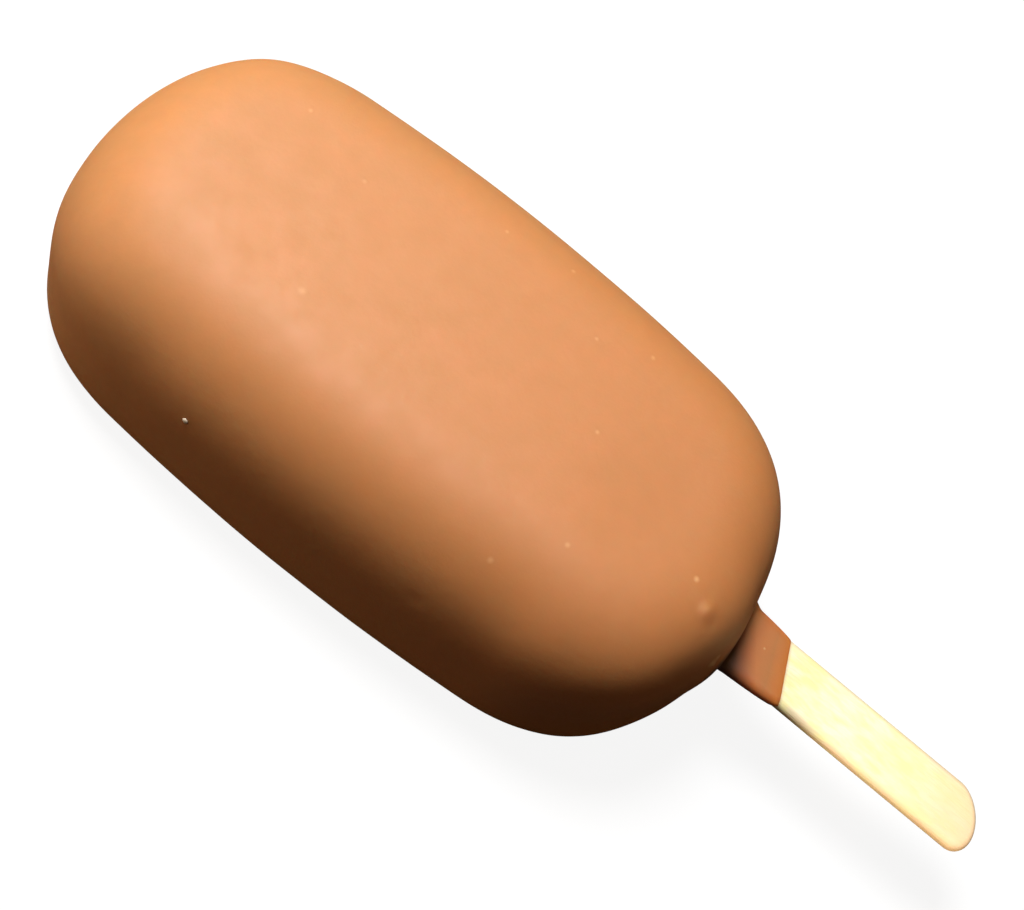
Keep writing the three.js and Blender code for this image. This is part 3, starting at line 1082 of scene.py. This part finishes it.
def wood_material(settings):
    """Bare pale wood: soft streaks, thin fibres, tan edges, a warmer tip, and a smear past the sleeve."""
    finish = settings.wood
    material, tree, shader, coordinates = new_material("bare_wood", WOOD_DULLNESS)
    streaks = add_mottle(tree, coordinates, (-1100, 400), **STREAKS)
    fibres = add_mottle(tree, coordinates, (-1100, 200), **FIBRES)
    base = blend_colours(tree, (-800, 400), streaks, finish.pale, finish.streak)
    dark_fibres = scale_mask(tree, (-800, 200), fibres, 0, FIBRE_SHARE, FIBRE_FROM, 1)
    base = blend_colours(tree, (-600, 300), dark_fibres, base, finish.fibre)
    side = wood_side_mask(tree, coordinates, settings)
    between_streaks = scale_mask(tree, (-800, 1300), streaks, 1, SIDE_SHARE_IN_STREAKS)
    tanned = multiply_masks(tree, (-500, 1100), side, between_streaks)
    base = blend_colours(tree, (-500, 900), tanned, base, finish.side)
    base = blend_colours(tree, (-400, 700), wood_tip_mask(tree, coordinates, settings), base, finish.tip)
    edge = sleeve_edge_plane(settings.block, settings.coat, settings.stick)
    wiped = plane_mask(tree, coordinates, 700, edge, SMEAR_SHARE, 0, 0, SMEAR_LENGTH)
    base = blend_colours(tree, (-400, 400), wiped, base, finish.smear)
    tree.links.new(base, shader.inputs["Base Color"])
    set_glow(shader, finish)
    tree.links.new(scale_mask(tree, (-800, 0), fibres, *FIBRE_DULLNESS), shader.inputs["Roughness"])
    add_bump(tree, shader, (-400, -200), fibres, FIBRE_RISE)
    return material


# ---------------------------------------------------------------- operators


def coat_below(coat, along, across):
    """The highest point of the coat at a place seen from above."""
    found, point, _, _ = coat.ray_cast(Vector((along, across, BAR_HIGH.z + MM)), Vector((0, 0, -1)))
    if not found:
        raise RuntimeError("no coat under a fleck")
    return point


class ICEBAR_OT_coated_block(bpy.types.Operator):
    """Model the coated block with the sleeve on the stick's root"""

    bl_idname = "icebar.coated_block"
    bl_label = "Coated Block"

    def execute(self, context):
        settings = context.scene.ice_cream_bar
        block, coat, stick = settings.block, settings.coat, settings.stick
        piece = model_block(block)
        roughen(piece, "slow waves", coat.wave_grain, coat.wave_depth)
        roughen(piece, "ripples", coat.ripple_grain, coat.ripple_depth)
        middle = Vector((block_centre_x(block), 0, 0))
        for mark in PUSHES:
            place = middle + Vector(mark["place"]) * MM
            push(piece, mark["name"], place, mark["reach"] * MM, mark["height"] * MM)
        keep_in_box(piece)
        combine(piece, model_sleeve(block, coat, stick), "UNION")
        select_only(piece, "vertices", lambda vertex: near_root(block, stick, vertex.co))
        edit(piece, "VERT")
        bpy.ops.mesh.vertices_smooth(factor=CORNER_EASE, repeat=CORNER_PASSES)
        leave_edit()
        combine(piece, model_plate(block, stick, STICK_CLEARANCE), "DIFFERENCE")
        spots = []
        # All entries are pale flecks, apart from the painted highlight on the large drip
        for fleck in FLECKS_AND_HIGHLIGHT:
            point = coat_below(piece, middle.x + fleck["along"] * MM, fleck["across"] * MM)
            radius = fleck["width"] * MM / 2
            push(piece, "fleck", point, radius, FLECK_RISE)
            spots.append({"centre": point, "radius": radius, "paleness": fleck["paleness"]})
        shade(piece, COAT_SHARP)
        piece.name = piece.data.name = "chocolate_coat"
        finish_piece(piece, chocolate_material(settings, spots), "milk_chocolate", "chocolate_bar")
        return {"FINISHED"}


class ICEBAR_OT_stick(bpy.types.Operator):
    """Model the flat wooden stick"""

    bl_idname = "icebar.stick"
    bl_label = "Stick"

    def execute(self, context):
        settings = context.scene.ice_cream_bar
        piece = model_stick(settings.block, settings.stick)
        shade(piece, STICK_SHARP)
        piece.name = piece.data.name = "flat_stick"
        finish_piece(piece, wood_material(settings), "bare_wood", "wooden_stick")
        return {"FINISHED"}


def add_dome(coat, place, width, height_share):
    """A low round dome, half sunk in the coat where it is nearest to a place."""
    found, point, normal, _ = coat.closest_point_on_mesh(place)
    if not found:
        raise RuntimeError("no coat near a drop")
    bpy.ops.object.select_all(action="DESELECT")
    bpy.ops.mesh.primitive_ico_sphere_add(
        subdivisions=DROP_SUBDIVISIONS,
        radius=width / 2,
        location=point,
        rotation=normal.to_track_quat("Z", "Y").to_euler(),
        scale=(1, 1, height_share),
    )
    bpy.ops.object.transform_apply(location=True, rotation=True, scale=True)
    return bpy.context.object


class ICEBAR_OT_milk_drop(bpy.types.Operator):
    """Model the drop of milk that dried on the coat's side"""

    bl_idname = "icebar.milk_drop"
    bl_label = "Milk Drop"

    def execute(self, context):
        settings = context.scene.ice_cream_bar
        coat = bpy.data.objects["chocolate_coat"]
        middle = Vector((block_centre_x(settings.block), 0, 0))
        drop = add_dome(coat, middle + Vector(DROP_PLACE) * MM, DROP_WIDTH * MM, DROP_FLATNESS)
        shade(drop, DROP_SHARP)
        drop.name = drop.data.name = "milk_drop"
        finish_piece(drop, drop_material(settings.chocolate), "milk_chocolate")
        return {"FINISHED"}


def add_area_light(name, place, aim, width, power, tint=WHITE):
    """A round soft light at a place, aimed at a point."""
    bpy.ops.object.light_add(type="AREA", location=place)
    light = bpy.context.object
    light.name = name
    light.data.shape = "DISK"
    light.data.size = width
    light.data.energy = power
    light.data.color = tint
    light.rotation_euler = (aim - place).to_track_quat("-Z", "Y").to_euler()


def add_spot(look, middle):
    """A narrow soft spot on the bare end of the stick."""
    place, aim = middle + look.accent_place, middle + look.accent_aim
    bpy.ops.object.light_add(type="SPOT", location=place)
    light = bpy.context.object
    light.name = "accent"
    light.data.energy = look.accent_power
    light.data.color = look.accent
    light.data.shadow_soft_size = look.accent_width / 2
    light.data.spot_size = look.accent_cone
    light.data.spot_blend = SPOT_BLEND
    light.rotation_euler = (aim - place).to_track_quat("-Z", "Y").to_euler()


def camera_ray(tree, place):
    """A mask that is 1 for what the camera sees itself, and 0 for light and reflections."""
    return add_node(tree, "ShaderNodeLightPath", place).outputs["Is Camera Ray"]


def add_floor(look):
    """A plain pale floor that glows for the eye and stays dark for the bar."""
    bpy.ops.object.select_all(action="DESELECT")
    bpy.ops.mesh.primitive_plane_add(size=look.floor_width)
    floor = bpy.context.object
    floor.name = "floor"
    material, tree, shader, _ = new_material("pale_floor", FLOOR_DULLNESS)
    shader.inputs["Base Color"].default_value = (*look.floor, 1)
    shader.inputs["Emission Color"].default_value = (*WHITE, 1)
    shader.inputs["Emission Strength"].default_value = look.floor_glow
    bounce = add_node(tree, "ShaderNodeBsdfDiffuse", (0, -400), {"Color": (*look.floor_bounce, 1)})
    switch = add_node(tree, "ShaderNodeMixShader", (300, 0))
    tree.links.new(camera_ray(tree, (-300, 300)), switch.inputs["Fac"])
    tree.links.new(bounce.outputs[0], switch.inputs[1])
    tree.links.new(shader.outputs[0], switch.inputs[2])
    tree.links.new(switch.outputs[0], tree.nodes["Material Output"].inputs["Surface"])
    floor.data.materials.append(material)


def add_sky(look):
    """Even light from all round, which the camera itself sees as white."""
    world = bpy.data.worlds.new("sky")
    world.use_nodes = True
    bpy.context.scene.world = world
    tree = world.node_tree
    sky = tree.nodes["Background"]
    seen = camera_ray(tree, (-600, 0))
    tree.links.new(blend_colours(tree, (-300, 200), seen, look.sky, WHITE), sky.inputs["Color"])
    tree.links.new(scale_mask(tree, (-300, 0), seen, look.sky_strength, 1), sky.inputs["Strength"])


def add_camera(look, middle):
    """The camera, turned about its own line of sight by a roll."""
    place, aim = middle + look.camera_place, middle + look.camera_aim
    bpy.ops.object.camera_add()
    camera = bpy.context.object
    back = (place - aim).normalized()
    level = (Vector((1, 0, 0)) - back * back.x).normalized()
    upright = back.cross(level)
    right = math.cos(look.camera_roll) * level + math.sin(look.camera_roll) * upright
    up = math.cos(look.camera_roll) * upright - math.sin(look.camera_roll) * level
    turned = Matrix((right, up, back)).transposed().to_4x4()
    camera.matrix_world = Matrix.Translation(place) @ turned
    camera.data.lens = look.lens
    camera.data.clip_start = CAMERA_START
    bpy.context.scene.camera = camera


class ICEBAR_OT_stage(bpy.types.Operator):
    """Set the floor, the lights and the camera"""

    bl_idname = "icebar.stage"
    bl_label = "Stage"

    def execute(self, context):
        settings = context.scene.ice_cream_bar
        look = settings.stage
        middle = Vector((block_centre_x(settings.block), 0, 0))
        add_floor(look)
        key_aim = middle + Vector((0, 0, BAR_HIGH.z / 2))
        add_area_light("key", middle + look.key_place, key_aim, look.key_width, look.key_power)
        add_area_light("fill", middle + look.fill_place, key_aim, look.fill_width, look.fill_power, look.fill)
        add_spot(look, middle)
        add_sky(look)
        add_camera(look, middle)
        context.scene.view_settings.view_transform = "Standard"
        return {"FINISHED"}


class ICEBAR_PT_panel(bpy.types.Panel):
    """Lists the steps that make the bar"""

    bl_idname = "ICEBAR_PT_panel"
    bl_label = "Ice Cream Bar"
    bl_space_type = "VIEW_3D"
    bl_region_type = "UI"
    bl_category = "Ice Cream Bar"

    def draw(self, context):
        settings = context.scene.ice_cream_bar
        for operator in OPERATORS:
            self.layout.operator(operator.bl_idname)
        for name in ("block", "coat", "stick", "chocolate", "wood", "stage"):
            box = self.layout.box()
            box.label(text=name.capitalize())
            group = getattr(settings, name)
            for key in group.bl_rna.properties.keys():
                if key not in ("rna_type", "name"):
                    box.prop(group, key)


OPERATORS = (ICEBAR_OT_coated_block, ICEBAR_OT_stick, ICEBAR_OT_milk_drop, ICEBAR_OT_stage)
CLASSES = (
    BlockSizes,
    CoatSizes,
    StickSizes,
    ChocolateFinish,
    WoodFinish,
    StageLook,
    BarSettings,
    *OPERATORS,
    ICEBAR_PT_panel,
)


def register():
    for cls in CLASSES:
        bpy.utils.register_class(cls)
    bpy.types.Scene.ice_cream_bar = PointerProperty(type=BarSettings)


def unregister():
    del bpy.types.Scene.ice_cream_bar
    for cls in reversed(CLASSES):
        bpy.utils.unregister_class(cls)


def main():
    register()
    bpy.ops.icebar.coated_block()
    bpy.ops.icebar.stick()
    bpy.ops.icebar.milk_drop()
    bpy.ops.icebar.stage()


if __name__ == "__main__":
    main()
